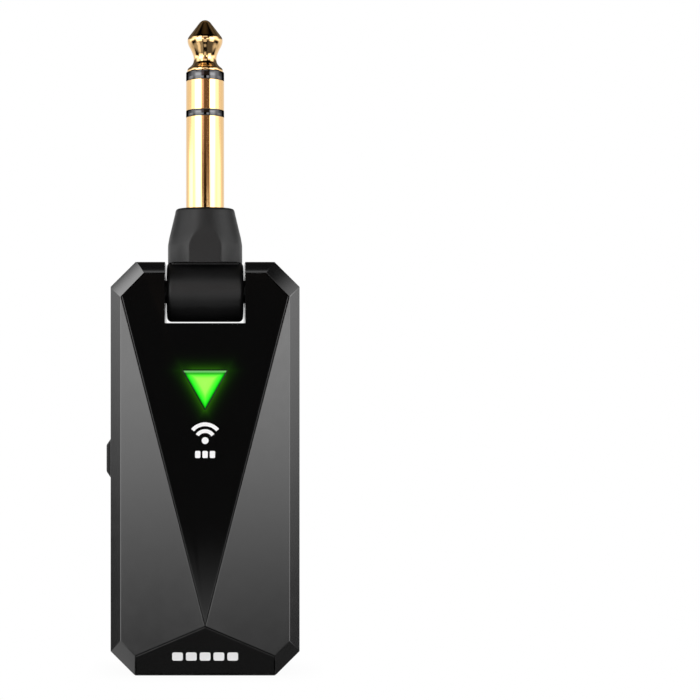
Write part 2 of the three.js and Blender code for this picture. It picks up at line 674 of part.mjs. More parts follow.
part('battery_cell', batteryCell, 'foil');
part('battery_tape', box([-8, 8], [BATTERY.y[1], BACK_Y - WALL], [20, 40]), 'foam');
part('battery_guard_board', box([-7, 7], [0.6, 1.6], [46.6, 48.8]), 'board');
part('battery_lead_positive', batteryLead(-2), 'red');
part('battery_lead_negative', batteryLead(2), 'black');

part('plug_base', plugBase(), 'matte');
for (const [side, word] of [[-1, 'left'], [1, 'right']]) {
  const { pin, bush, washer, clip } = hingeSide(side);
  part(`${word}_hinge_pin`, pin, 'black');
  part(`${word}_hinge_bush`, bush, 'white');
  part(`${word}_friction_washer`, washer, 'steel');
  part(`${word}_retaining_clip`, clip, 'steel');
}

part('plug_sleeve', sleeve, 'gold');
part('lower_insulator', lowerInsulator, 'black');
part('plug_ring', ringContact, 'gold');
part('upper_insulator', upperInsulator, 'black');
part('plug_tip', tipContact, 'gold');
part('sleeve_lug', sleeveLug, 'steel');
part('tip_lug', tipLug, 'steel');
part('plug_wire_sleeve', wire(PLUG_WIRES.sleeve, 0.4), 'black');
part('plug_wire_tip', wire(PLUG_WIRES.tip, 0.4), 'red');
part('plug_wire_ring', wire(PLUG_WIRES.ring, 0.35), 'white');
part('board_wire_sleeve', wire(BOARD_WIRES.sleeve, 0.4), 'black');
part('board_wire_tip', wire(BOARD_WIRES.tip, 0.4), 'red');
part('board_wire_ring', wire(BOARD_WIRES.ring, 0.35), 'white');

export default group;
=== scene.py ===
"""The looks of a wireless guitar transmitter: a faceted housing with a folding gold plug."""
import json
import math

import bmesh
import bpy
from mathutils import Matrix, Vector
from mathutils.bvhtree import BVHTree


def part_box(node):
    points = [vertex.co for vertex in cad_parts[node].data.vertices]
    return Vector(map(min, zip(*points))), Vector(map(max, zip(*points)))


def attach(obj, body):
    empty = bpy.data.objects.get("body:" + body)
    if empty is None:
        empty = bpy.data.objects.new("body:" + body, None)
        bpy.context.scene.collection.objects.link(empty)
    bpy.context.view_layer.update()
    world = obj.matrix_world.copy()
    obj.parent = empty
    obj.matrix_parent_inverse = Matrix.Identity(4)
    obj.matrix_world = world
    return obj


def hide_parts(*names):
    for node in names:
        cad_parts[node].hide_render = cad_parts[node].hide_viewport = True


MM = 0.001
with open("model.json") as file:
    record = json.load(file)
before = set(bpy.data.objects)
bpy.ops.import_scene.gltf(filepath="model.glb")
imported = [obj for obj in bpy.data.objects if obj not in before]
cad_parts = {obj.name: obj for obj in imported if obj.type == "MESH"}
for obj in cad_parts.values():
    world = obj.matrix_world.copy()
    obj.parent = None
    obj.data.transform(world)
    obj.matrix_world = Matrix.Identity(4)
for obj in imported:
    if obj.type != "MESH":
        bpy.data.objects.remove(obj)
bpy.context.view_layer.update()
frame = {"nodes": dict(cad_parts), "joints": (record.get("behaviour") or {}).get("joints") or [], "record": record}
NODES = frame["nodes"]
scene = bpy.context.scene

# ---------------------------------------------------------------- places, from the frame

HINGE = Vector(frame["joints"][0]["pos_m"])
PLUG_CENTRE = (0, HINGE.y)
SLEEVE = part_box("plug_sleeve")
LOWER_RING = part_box("lower_insulator")
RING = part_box("plug_ring")
UPPER_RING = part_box("upper_insulator")
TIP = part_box("plug_tip")
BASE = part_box("plug_base")
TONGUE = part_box("usb_socket_tongue")
PLUG_RADIUS = SLEEVE[1].x

LENS_CORNERS = [v.co for v in NODES["lamp_lens"].data.vertices]
LENS_FRONT = min(corner.y for corner in LENS_CORNERS)
LENS_BODY = [corner for corner in LENS_CORNERS if corner.y < LENS_FRONT + 0.5 * MM]
LENS_HALF = max(corner.x for corner in LENS_BODY)
LENS_TOP = max(corner.z for corner in LENS_BODY)
LENS_TIP = min(corner.z for corner in LENS_BODY)


def facet(node, towards):
    """The (point, normal) of a node's largest flat stretch that faces roughly towards a direction."""
    direction = Vector(towards).normalized()
    stretches = {}
    for polygon in NODES[node].data.polygons:
        if polygon.normal.dot(direction) > 0.8:
            key = tuple(round(part, 2) for part in polygon.normal)
            stretches.setdefault(key, []).append(polygon)
    largest = max(stretches.values(), key=lambda group: sum(p.area for p in group))
    widest = max(largest, key=lambda polygon: polygon.area)
    return widest.center.copy(), widest.normal.copy()


WINDOW_FACE = facet("front_window", (0, -1, 0))
TRIM_FACE = facet("lower_front_trim", (0, -1, -0.25))

# ---------------------------------------------------------------- camera

CAMERA_DISTANCE = 270 * MM
CAMERA_HEIGHT = 53.36 * MM
SENSOR_WIDTH = 36
FOCAL_LENGTH = 83.15
SIDE_SHIFT = 0.207

camera_data = bpy.data.cameras.new("camera")
camera_data.sensor_width = SENSOR_WIDTH
camera_data.lens = FOCAL_LENGTH
camera_data.shift_x = SIDE_SHIFT
camera_data.clip_start = 0.01
camera = bpy.data.objects.new("camera", camera_data)
camera.location = (0, HINGE.y - CAMERA_DISTANCE, CAMERA_HEIGHT)
camera.rotation_euler = (math.radians(90), 0, 0)
scene.collection.objects.link(camera)
scene.camera = camera

scene.view_settings.view_transform = "Standard"
scene.view_settings.look = "None"

# ---------------------------------------------------------------- node building


def calculated(tree, operation, *values):
    """A Math node's result; each value is a number or a socket."""
    node = tree.nodes.new("ShaderNodeMath")
    node.operation = operation
    for i, value in enumerate(values):
        if isinstance(value, bpy.types.NodeSocket):
            tree.links.new(value, node.inputs[i])
        else:
            node.inputs[i].default_value = value
    return node.outputs[0]


def mapped(tree, source, start, end, low=0.0, high=1.0, smooth=True):
    """Maps start..end onto low..high, and holds the ends; start may be the greater."""
    node = tree.nodes.new("ShaderNodeMapRange")
    node.interpolation_type = "SMOOTHSTEP" if smooth else "LINEAR"
    for name, value in (("From Min", start), ("From Max", end), ("To Min", low), ("To Max", high)):
        node.inputs[name].default_value = value
    tree.links.new(source, node.inputs["Value"])
    return node.outputs["Result"]


def noise(tree, scale, detail=4.0, roughness=0.5, stretch=(1, 1, 1)):
    """A noise pattern fixed to the surface; scale is in repeats per metre."""
    place = tree.nodes.new("ShaderNodeTexCoord").outputs["Object"]
    mapping = tree.nodes.new("ShaderNodeMapping")
    mapping.inputs["Scale"].default_value = stretch
    tree.links.new(place, mapping.inputs["Vector"])
    texture = tree.nodes.new("ShaderNodeTexNoise")
    texture.inputs["Scale"].default_value = scale
    texture.inputs["Detail"].default_value = detail
    texture.inputs["Roughness"].default_value = roughness
    tree.links.new(mapping.outputs["Vector"], texture.inputs["Vector"])
    return texture.outputs["Fac"]


def tinted(tree, source, *stops):
    """A colour ramp of (position, colour) stops over a 0 to 1 source."""
    ramp = tree.nodes.new("ShaderNodeValToRGB")
    elements = ramp.color_ramp.elements
    for element, (position, colour) in zip(elements, (stops[0], stops[-1])):
        element.position = position
        element.color = (*colour, 1)
    for position, colour in stops[1:-1]:
        elements.new(position).color = (*colour, 1)
    tree.links.new(source, ramp.inputs["Fac"])
    return ramp.outputs["Color"]


def bumped(tree, height, distance):
    """The surface normal of a height pattern whose relief is distance deep."""
    bump = tree.nodes.new("ShaderNodeBump")
    bump.inputs["Distance"].default_value = distance
    tree.links.new(height, bump.inputs["Height"])
    return bump.outputs["Normal"]


# ---------------------------------------------------------------- studio

# Light panels round the object, by degrees. Azimuth 0 is in front and 90 to the right. Each has
# four stops across and four up: it fades in over the first two and out over the last two. Last
# comes its brightness or, for the warm ones that give the gold its brown darks, its colour.
ALL_ROUND = (-2, -1, 181, 182)
PANELS = [
    ("left", (20, 27, 35, 60), (18, 28, 31, 48), 3.9),
    ("left", (20, 28, 54, 70), (-13, 3, 16, 26), 1.5),
    ("right", (24, 36, 54, 70), (-13, 3, 23, 38), 1.5),
    ("left", (18, 25, 54, 66), (-27, -16, 12, 20), 1.9),
    ("right", (23, 38, 54, 66), (-27, -16, 12, 20), 1.9),
    ("both", (24, 32, 50, 76), (5, 8, 14, 22), 1.6),
    ("left", (4, 12, 20, 26), (6, 8.5, 16, 30), (0.8, 0.62, 0.65)),
    ("left", (7, 11, 19, 28), (-12, 5, 3, 5.2), 3.25),
    ("right", (7, 11, 19, 28), (-12, 5, 3, 5.2), 3.4),
    ("both", (7, 15, 60, 80), (-26, -14, -8, 2), 0.18),
    ("left", (54, 66, 95, 110), (-8.5, 6.5, 6.6, 8.5), 1.7),
    ("right", (54, 66, 95, 110), (-10.5, 3, 6.6, 8.5), 1.65),
    ("both", (54, 66, 80, 113), (6.6, 8.5, 30, 46), 1.8),
    ("left", (74, 84, 105, 125), (-9, 6, 6.5, 7.6), 1.5),
    ("right", (74, 84, 105, 125), (-9, 6, 6.5, 7.6), 0.6),
    ("both", (-2, -1, 14, 22), (20, 27, 34, 48), 1.0),
    ("both", (95, 110, 181, 182), (-45, -5, 11, 17), 0.9),
    ("both", (95, 110, 181, 182), (11, 17, 35, 50), 0.13),
    ("both", (100, 120, 181, 182), (40, 60, 80, 89), (0.12, 0.11, 0.095)),
    ("both", ALL_ROUND, (70, 85, 91, 92), (0.045, 0.035, 0.022)),
    ("both", (-2, -1, 20, 28), (6.1, 7.8, 16, 30), (0.17, 0.105, 0.07)),
    ("both", (5, 8, 20, 28), (3.2, 4.6, 6.1, 7.8), (0.17, 0.105, 0.07)),
    ("both", (-2, -1, 8, 14), (-34, -28, -9, -3), 0.8),
    ("both", (-2, -1, 8, 14), (-64, -56, -47, -42), 0.55),
    ("left", (40, 46, 62, 72), (-55, -48, -32, -20), 1.0),
    ("left", (12, 25, 40, 46), (-55, -48, -32, -20), 0.33),
    ("left", (62, 72, 181, 182), (-55, -48, -32, -20), 0.4),
    ("right", (12, 25, 60, 85), (-55, -48, -32, -20), 0.1),
    ("right", (60, 85, 181, 182), (-55, -48, -32, -20), 0.7),
    ("both", ALL_ROUND, (-92, -91, -58, -50), 0.1),
]


def studio_world():
    """Soft panels light the object, and the camera sees plain white behind it."""
    world = bpy.data.worlds.new("studio")
    world.use_nodes = True
    tree = world.node_tree
    direction = tree.nodes.new("ShaderNodeSeparateXYZ")
    place = tree.nodes.new("ShaderNodeTexCoord")
    tree.links.new(place.outputs["Generated"], direction.inputs["Vector"])
    x, y, z = direction.outputs
    forward = calculated(tree, "MULTIPLY", y, -1.0)
    azimuth = calculated(tree, "DEGREES", calculated(tree, "ARCTAN2", x, forward))
    elevation = calculated(tree, "DEGREES", calculated(tree, "ARCSINE", z))
    sides = {
        "right": azimuth,
        "left": calculated(tree, "MULTIPLY", azimuth, -1.0),
        "both": calculated(tree, "ABSOLUTE", azimuth),
    }
    total = None
    for side, across, up, radiance in PANELS:
        panel = mapped(tree, sides[side], across[0], across[1])
        for source, start, end in (
            (sides[side], across[3], across[2]),
            (elevation, up[0], up[1]),
            (elevation, up[3], up[2]),
        ):
            panel = calculated(tree, "MULTIPLY", panel, mapped(tree, source, start, end))
        lit = tree.nodes.new("ShaderNodeVectorMath")
        lit.operation = "MULTIPLY_ADD"
        tree.links.new(panel, lit.inputs[0])
        lit.inputs[1].default_value = radiance if isinstance(radiance, tuple) else [radiance] * 3
        if total:
            tree.links.new(total, lit.inputs[2])
        total = lit.outputs[0]
    seen = tree.nodes.new("ShaderNodeLightPath").outputs["Is Camera Ray"]
    shown = tree.nodes.new("ShaderNodeMix")
    shown.data_type = "RGBA"
    tree.links.new(seen, shown.inputs["Factor"])
    tree.links.new(total, shown.inputs["A"])
    shown.inputs["B"].default_value = (1, 1, 1, 1)
    background = tree.nodes["Background"]
    background.inputs["Strength"].default_value = 1.0
    tree.links.new(shown.outputs["Result"], background.inputs["Color"])
    return world


scene.world = studio_world()


FLOOR_HALF = 4.0
FLOOR_SHADE = 0.955
FLOOR_SHADE_REACH = 6 * MM


def pale_floor():
    """A white sweep with a faint painted contact shadow, close to where the object stands."""
    made = bpy.data.materials.new("pale_floor")
    made.use_nodes = True
    tree = made.node_tree
    # Painted shadow: the floor's glow dims a little where the object is near.
    occlusion = tree.nodes.new("ShaderNodeAmbientOcclusion")
    occlusion.inputs["Distance"].default_value = FLOOR_SHADE_REACH
    shade = mapped(tree, occlusion.outputs["AO"], 0.0, 1.0, FLOOR_SHADE, 1.0, smooth=False)
    shader = tree.nodes["Principled BSDF"]
    shader.inputs["Base Color"].default_value = (0, 0, 0, 1)
    shader.inputs["Specular IOR Level"].default_value = 0
    shader.inputs["Emission Color"].default_value = (1, 1, 1, 1)
    tree.links.new(shade, shader.inputs["Emission Strength"])
    return made


def floor():
    """A wide floor that the object doesn't reflect and that blocks no light."""
    mesh = bpy.data.meshes.new("floor")
    build = bmesh.new()
    bmesh.ops.create_grid(build, x_segments=1, y_segments=1, size=FLOOR_HALF)
    build.to_mesh(mesh)
    build.free()
    mesh.materials.append(pale_floor())
    sweep = bpy.data.objects.new("floor", mesh)
    scene.collection.objects.link(sweep)
    sweep.visible_glossy = False
    sweep.visible_diffuse = False
    sweep.visible_shadow = False


floor()

# ---------------------------------------------------------------- materials


def surface(name, colour, roughness, grain=None, metallic=0.0, vary=0.12, specular=0.5):
    """A moulded or plated surface: colour and roughness vary softly; grain is (size, height)."""
    made = bpy.data.materials.new(name)
    made.use_nodes = True
    tree = made.node_tree
    shader = tree.nodes["Principled BSDF"]
    darker = [channel * (1 - vary) for channel in colour]
    lighter = [channel * (1 + vary) for channel in colour]
    clouds = noise(tree, 160.0, 5.0)
    tree.links.new(tinted(tree, clouds, (0.3, darker), (0.7, lighter)), shader.inputs["Base Color"])
    smudges = noise(tree, 420.0, 6.0, 0.6)
    rough = mapped(tree, smudges, 0.3, 0.7, roughness * 0.92, roughness * 1.08)
    tree.links.new(rough, shader.inputs["Roughness"])
    shader.inputs["Metallic"].default_value = metallic
    shader.inputs["Specular IOR Level"].default_value = specular
    if grain:
        size, height = grain
        relief = bumped(tree, noise(tree, 1 / size, 3.0, 0.6), height)
        tree.links.new(relief, shader.inputs["Normal"])
    return made


def gold_plate():
    """Polished gold over fine turning marks, which run round the contact."""
    made = surface("gold_plate", (0.93, 0.60, 0.27), 0.09, metallic=1.0, vary=0.02)
    tree = made.node_tree
    marks = noise(tree, 900.0, 2.0, 0.5, stretch=(0.15, 0.15, 9.0))
    relief = bumped(tree, marks, 0.0006 * MM)
    tree.links.new(relief, tree.nodes["Principled BSDF"].inputs["Normal"])
    return made


def lamp_distances(tree):
    """Millimetres within the lamp's sides, beyond them, below its top, and from an upper corner."""
    place = tree.nodes.new("ShaderNodeTexCoord").outputs["Object"]
    parts = tree.nodes.new("ShaderNodeSeparateXYZ")
    tree.links.new(place, parts.inputs["Vector"])
    x, _, z = parts.outputs
    below_top = calculated(tree, "MULTIPLY_ADD", z, -1 / MM, LENS_TOP / MM)
    inwards = calculated(tree, "MULTIPLY_ADD", calculated(tree, "ABSOLUTE", x), -1 / MM, LENS_HALF / MM)
    squares = [
        calculated(tree, "POWER", calculated(tree, "ABSOLUTE", distance), 2.0)
        for distance in (inwards, below_top)
    ]
    from_corner = calculated(tree, "SQRT", calculated(tree, "ADD", *squares))
    height = LENS_TOP - LENS_TIP
    length = math.hypot(height, LENS_HALF)
    slant = calculated(tree, "MULTIPLY", below_top, LENS_HALF / length)
    distances = [below_top]
    for direction in (1, -1):
        across = calculated(
            tree, "MULTIPLY_ADD", x, direction * height / length / MM, LENS_HALF * height / length / MM
        )
        distances.append(calculated(tree, "SUBTRACT", across, slant))
    within, beyond = distances[0], 0.0
    for distance in distances[1:]:
        within = calculated(tree, "MINIMUM", within, distance)
    for distance in distances:
        beyond = calculated(tree, "SUBTRACT", beyond, calculated(tree, "MINIMUM", distance, 0.0))
    return within, beyond, below_top, from_corner


PAINTED_TOP_HIGHLIGHT_GREEN = (0.42, 1.25, 0.37, 1)
PAINTED_GLOW_GREEN = (0.16, 1.0, 0.0, 1)
PAINTED_GLOW_FADE = 0.50


def lit_lens():
    """A green diffuser lit from behind: yellowish inside, deep green at its sides, with a painted pale highlight
    along its top.
    """
    made = surface("lit_lens", (0.01, 0.10, 0.01), 0.25, grain=(0.3 * MM, 0.002 * MM))
    tree = made.node_tree
    shader = tree.nodes["Principled BSDF"]
    within, _, below_top, _ = lamp_distances(tree)
    glow = tinted(
        tree,
        mapped(tree, within, 0.0, 2.0, smooth=False),
        (0.0, (0.0, 0.20, 0.0)),
        (0.06, (0.0, 0.55, 0.0)),
        (0.20, (0.004, 0.87, 0.0)),
        (0.40, (0.10, 0.95, 0.02)),
        (0.62, (0.33, 1.0, 0.075)),
        (1.0, (0.37, 1.0, 0.09)),
    )
    # Painted highlight: a pale band along the lens's top, where its bevel would catch the light.
    painted_top_highlight = mapped(tree, below_top, 0.34, 0.26)
    mix = tree.nodes.new("ShaderNodeMix")
    mix.data_type = "RGBA"
    tree.links.new(painted_top_highlight, mix.inputs["Factor"])
    tree.links.new(glow, mix.inputs["A"])
    mix.inputs["B"].default_value = PAINTED_TOP_HIGHLIGHT_GREEN
    tree.links.new(mix.outputs["Result"], shader.inputs["Emission Color"])
    shade = mapped(tree, below_top, 0.42, 0.9, 0.38, 1.0)
    tree.links.new(shade, shader.inputs["Emission Strength"])
    return made


def window_gloss():
    """Piano black with a painted green glow round the lens, standing for the lamp's light spreading into it."""
    made = surface("window_gloss", (0.003, 0.003, 0.003), 0.06, vary=0.03, specular=0.9)
    tree = made.node_tree
    shader = tree.nodes["Principled BSDF"]
    _, beyond, _, from_corner = lamp_distances(tree)
    # Painted glow: green emission that fades with distance from the lens, and is brighter near its upper corners.
    fade = calculated(tree, "EXPONENT", calculated(tree, "DIVIDE", beyond, -PAINTED_GLOW_FADE))
    outline = mapped(tree, beyond, 0.10, 0.30)
    shader.inputs["Emission Color"].default_value = PAINTED_GLOW_GREEN
    brightness = mapped(tree, from_corner, 0.3, 1.8, 0.065, 0.15)
    strength = calculated(tree, "MULTIPLY", calculated(tree, "MULTIPLY", fade, outline), brightness)
    tree.links.new(strength, shader.inputs["Emission Strength"])
    return made


SHELL = surface(
    "satin_shell", (0.006, 0.006, 0.0061), 0.14, grain=(0.16 * MM, 0.0003 * MM), specular=1.0
)
MOULDING = surface(
    "grained_moulding", (0.0045, 0.0045, 0.0047), 0.42, grain=(0.14 * MM, 0.012 * MM), specular=0.42
)
GLOSS = surface("piano_black", (0.008, 0.008, 0.008), 0.08, vary=0.03, specular=0.6)
WINDOW = window_gloss()
LAMP = lit_lens()
INSULATOR = surface("insulator_black", (0.08, 0.08, 0.083), 0.07, metallic=1.0, vary=0.04)
INSULATOR.node_tree.nodes["Principled BSDF"].inputs["Specular Tint"].default_value = (0, 0, 0, 1)
GOLD = gold_plate()
STEEL = surface("nickel_plate", (0.55, 0.55, 0.56), 0.30, (0.08 * MM, 0.001 * MM), metallic=1.0)
SCREW = surface("black_zinc", (0.05, 0.05, 0.052), 0.35, (0.1 * MM, 0.002 * MM), metallic=1.0)
NYLON = surface("natural_nylon", (0.75, 0.74, 0.70), 0.5, grain=(0.3 * MM, 0.004 * MM))
BOARD = surface("solder_mask", (0.010, 0.065, 0.028), 0.35, grain=(0.25 * MM, 0.004 * MM))
CHIP = surface("moulded_epoxy", (0.012, 0.012, 0.013), 0.6, grain=(0.06 * MM, 0.004 * MM))
CERAMIC = surface("fired_ceramic", (0.68, 0.63, 0.52), 0.55, grain=(0.1 * MM, 0.003 * MM))
FOIL = surface("laminated_foil", (0.60, 0.60, 0.62), 0.38, (1.2 * MM, 0.02 * MM), metallic=0.8)
FOAM = surface("foam_tape", (0.05, 0.05, 0.05), 0.9, grain=(0.3 * MM, 0.05 * MM))
RED = surface("red_insulation", (0.45, 0.02, 0.01), 0.45, grain=(0.4 * MM, 0.003 * MM))
BLACK_WIRE = surface("black_insulation", (0.012, 0.012, 0.012), 0.45, grain=(0.4 * MM, 0.003 * MM))
WHITE_WIRE = surface("white_insulation", (0.80, 0.80, 0.78), 0.45, grain=(0.4 * MM, 0.003 * MM))
PRINT = surface("white_print", (0.88, 0.88, 0.88), 0.45, grain=(0.12 * MM, 0.001 * MM), vary=0.02)
PALE_PRINT = surface("pale_grey_print", (0.78, 0.78, 0.78), 0.4, (0.12 * MM, 0.001 * MM), vary=0.02)

SLOT_FINISH = {
    "shell_black": SHELL,
    "window_black": GLOSS,
    "lamp_green": LAMP,
    "moulding_black": MOULDING,
    "nylon_white": NYLON,
    "board_green": BOARD,
    "chip_black": CHIP,
    "ceramic_cream": CERAMIC,
    "steel_plated": STEEL,
    "screw_black": SCREW,
    "contact_gold": GOLD,
    "insulator_black": INSULATOR,
    "cell_foil": FOIL,
    "foam_grey": FOAM,
    "wire_red": RED,
    "wire_black": BLACK_WIRE,
    "wire_white": WHITE_WIRE,
}

# ---------------------------------------------------------------- piece building


def finish_piece(name, build, finish, body, record_slot, *stands_for, smooth_angle=32):
    """Makes the bmesh an object with a material, and gives it to its body."""
    mesh = bpy.data.meshes.new(name)
    bmesh.ops.recalc_face_normals(build, faces=build.faces)
    for face in build.faces:
        face.smooth = True
    build.to_mesh(mesh)
    build.free()
    mesh.set_sharp_from_angle(angle=math.radians(smooth_angle))
    mesh.materials.append(finish)
    piece = bpy.data.objects.new(name, mesh)
    scene.collection.objects.link(piece)
    weighted = piece.modifiers.new("even_flats", "WEIGHTED_NORMAL")
    weighted.keep_sharp = True
    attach(piece, body)
    if stands_for:
        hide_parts(*stands_for)
    return piece


def refined(node, width, wide_edges=None, wide=0.0, segments=3, sharp_angle=8.0, reach=0.35 * MM):
    """A CAD solid's shape with its outer edges rounded: those within reach of its convex hull.

    wide_edges(start, end) picks the edges that get the wide rounding instead, wherever they are.
    """
    build = bmesh.new()
    build.from_mesh(NODES[node].data)
    bmesh.ops.remove_doubles(build, verts=build.verts, dist=0.002 * MM)
    bmesh.ops.dissolve_limit(
        build, angle_limit=math.radians(0.4), verts=build.verts, edges=build.edges
    )
    hull = bmesh.new()
    hull.from_mesh(NODES[node].data)
    bmesh.ops.convex_hull(hull, input=hull.verts)
    bmesh.ops.delete(hull, geom=[v for v in hull.verts if not v.link_faces], context="VERTS")
    skin = BVHTree.FromBMesh(hull)
    chosen, wider = [], []
    for edge in build.edges:
        if not edge.is_manifold or edge.calc_face_angle() < math.radians(sharp_angle):
            continue
        ends = [vertex.co for vertex in edge.verts]
        if wide_edges and wide_edges(*ends):
            wider.append(edge)
        elif all(skin.find_nearest(end)[3] < reach for end in ends):
            chosen.append(edge)
    hull.free()
    for edges, offset in ((wider, wide), (chosen, width)):
        edges = [edge for edge in edges if edge.is_valid]
        if edges:
            bmesh.ops.bevel(
                build, geom=edges, offset=offset, segments=segments, profile=0.5,
                affect="EDGES", clamp_overlap=False, miter_outer="ARC",
            )
    low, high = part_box(node)
    for vertex in build.verts:
        vertex.co = [min(max(part, least), most) for part, least, most in zip(vertex.co, low, high)]
    return build


SMALLEST_DOME = 4 * MM * MM
FLAT_COSINE = 0.9995


def crowned(piece, chosen, leans):
    """Leans a flat facet's shading outwards, as on a slightly domed moulding.

    leans(polygon) gives radians per millimetre from the middle, across and along the facet.
    """
    graph = bpy.context.evaluated_depsgraph_get()
    mesh = bpy.data.meshes.new_from_object(piece.evaluated_get(graph))
    normals = [corner.vector.copy() for corner in mesh.corner_normals]
    for polygon in mesh.polygons:
        if polygon.area < SMALLEST_DOME or not chosen(polygon):
            continue
        normal, centre = polygon.normal.copy(), polygon.center.copy()
        corners = [mesh.vertices[i].co for i in polygon.vertices]
        sides = [end - start for start, end in zip(corners, corners[1:] + corners[:1])]
        along = max(sides, key=lambda side: side.length).normalized()
        across = normal.cross(along)
        lean_across, lean_along = leans(polygon)
        touched = set(polygon.vertices)
        for loop in mesh.loops:
            if loop.vertex_index in touched and normals[loop.index].dot(normal) > FLAT_COSINE:
                offset = (mesh.vertices[loop.vertex_index].co - centre) / MM
                tilt = across * offset.dot(across) * lean_across + along * offset.dot(along) * lean_along
                normals[loop.index] = (normal + tilt).normalized()
    mesh.normals_split_custom_set(normals)
    piece.modifiers.clear()
    piece.data = mesh


def turned(profile, sides=96, centre=(0, 0), axis="Z"):
    """A profile of (radius, height) turned about a line parallel to an axis, through a centre."""
    build = bmesh.new()
    rings = []
    for radius, height in profile:
        count = 1 if radius < 1e-9 else sides
        rings.append([
            build.verts.new((
                radius * math.cos(2 * math.pi * i / sides),
                radius * math.sin(2 * math.pi * i / sides),
                height,
            ))
            for i in range(count)
        ])
    if (Vector(profile[0]) - Vector(profile[-1])).length < 1e-9:
        for vertex in rings.pop():
            build.verts.remove(vertex)
        rings.append(rings[0])
    join_rings(build, rings)
    turns = {"X": Matrix.Rotation(math.pi / 2, 3, "Y"), "Y": Matrix.Rotation(-math.pi / 2, 3, "X")}
    places = {"X": (0, *centre), "Y": (centre[0], 0, centre[1]), "Z": (*centre, 0)}
    if axis in turns:
        bmesh.ops.rotate(build, verts=build.verts, matrix=turns[axis])
    bmesh.ops.translate(build, verts=build.verts, vec=places[axis])
    return build


def join_rings(build, rings):
    """Faces between each ring of vertices and the next; a ring of one vertex is a point."""
    for lower, upper in zip(rings, rings[1:]):
        sides = max(len(lower), len(upper))
        for i in range(sides):
            corners = [
                lower[i % len(lower)],
                lower[(i + 1) % len(lower)],
                upper[(i + 1) % len(upper)],
                upper[i % len(upper)],
            ]
            distinct = list(dict.fromkeys(corners))
            if len(distinct) > 2:
                build.faces.new(distinct)


def arc(centre, radius, start, end, steps=6):
    """Points on an arc from one angle to another, in degrees."""
    angles = [math.radians(start + (end - start) * i / steps) for i in range(steps + 1)]
    return [(centre[0] + radius * math.cos(a), centre[1] + radius * math.sin(a)) for a in angles]


def smooth_line(points, steps=5):
    """A Catmull-Rom line through the points."""
    line = []
    padded = [points[0], *points, points[-1]]
    for before, start, end, after in zip(padded, padded[1:], padded[2:], padded[3:]):
        for i in range(steps):
            t = i / steps
            line.append(tuple(
                0.5 * (2 * b + (c - a) * t + (2 * a - 5 * b + 4 * c - d) * t * t
                       + (3 * b - a - 3 * c + d) * t * t * t)
                for a, b, c, d in zip(before, start, end, after)
            ))
    return [*line, points[-1]]


def collar(inner, outer, low, high, edge):
    """A ring's closed section with rounded outer edges."""
    return [
        (inner, low),
        *arc((outer - edge, low + edge), edge, -90, 0, 3),
        *arc((outer - edge, high - edge), edge, 0, 90, 3),
        (inner, high),
        (inner, low),
    ]


def prism(outline, depth, edge, place, segments=2):
    """An outline in (x, z) made solid from y 0 back to depth, its front edge rounded, then placed."""
    build = bmesh.new()
    front = [build.verts.new((x, 0, z)) for x, z in outline]
    face = build.faces.new(front)
    extruded = bmesh.ops.extrude_face_region(build, geom=[face])
    moved = [item for item in extruded["geom"] if isinstance(item, bmesh.types.BMVert)]
    bmesh.ops.translate(build, verts=moved, vec=(0, depth, 0))
    if edge:
        rim = [e for e in build.edges if all(abs(v.co.y) < 1e-9 for v in e.verts)]
        bmesh.ops.bevel(
            build, geom=rim, offset=edge, segments=segments, profile=0.5, affect="EDGES"
        )
    bmesh.ops.transform(build, matrix=place, verts=build.verts)
    return build


def rounded_box(width, height, radius, steps=5):
    """A round-cornered rectangle's outline about the origin."""
    x, z = width / 2 - radius, height / 2 - radius
    return [
        *arc((x, z), radius, 0, 90, steps),
        *arc((-x, z), radius, 90, 180, steps),
        *arc((-x, -z), radius, 180, 270, steps),
        *arc((x, -z), radius, 270, 360, steps),
    ]


def joined(builds):
    """One bmesh of several separate closed shapes."""
    whole = bmesh.new()
    for build in builds:
        mesh = bpy.data.meshes.new("shape")
        build.to_mesh(mesh)
        build.free()
        whole.from_mesh(mesh)
        bpy.data.meshes.remove(mesh)
    return whole


def combined(operation, first, *others):
    """Closed shapes joined by a UNION, or cut out of the first by a DIFFERENCE."""
    def as_object(build):
        mesh = bpy.data.meshes.new("shape")
        bmesh.ops.recalc_face_normals(build, faces=build.faces)
        build.to_mesh(mesh)
        build.free()
        made = bpy.data.objects.new("shape", mesh)
        scene.collection.objects.link(made)
        return made

    whole = as_object(first)
    parts = [as_object(other) for other in others]
    for part in parts:
        step = whole.modifiers.new("step", "BOOLEAN")
        step.operation = operation
        step.solver = "EXACT"
        step.object = part
    graph = bpy.context.evaluated_depsgraph_get()
    build = bmesh.new()
    build.from_object(whole, graph)
    for made in (whole, *parts):
        bpy.data.objects.remove(made)
    return build


# ---------------------------------------------------------------- housing


def is_top_bevel(polygon):
    """The bevel along the top of the front."""
    normal = polygon.normal
    return normal.y < -0.8 and abs(normal.x) < 0.05 and 0.3 < normal.z < 0.6


def is_domed(polygon):
    """The top bevel, and the small slanted facets at the four corners of the front."""
    normal = polygon.normal
    is_corner = normal.y < -0.5 and abs(normal.x) > 0.25 and abs(normal.z) > 0.2
    return is_corner or is_top_bevel(polygon)


def facet_leans(polygon):
    """The top bevel leans most. The upper corners lean one way each, and the lower two hardly."""
    if is_top_bevel(polygon):
        return 0.22, 0.0
    if polygon.normal.z < 0:
        return 0.01, 0.01
    return (0.05, 0.0) if polygon.center.x < 0 else (0.0, 0.03)


def on_slot_edge(start, end):
    """An upright edge beside the plug's slot."""
    low, high = BASE[0].x - 0.3 * MM, BASE[1].x + 0.3 * MM
    upright = abs(start.x - end.x) < 0.01 * MM and abs(start.z - end.z) > 1 * MM
    return upright and (abs(start.x - low) < 0.3 * MM or abs(start.x - high) < 0.3 * MM)


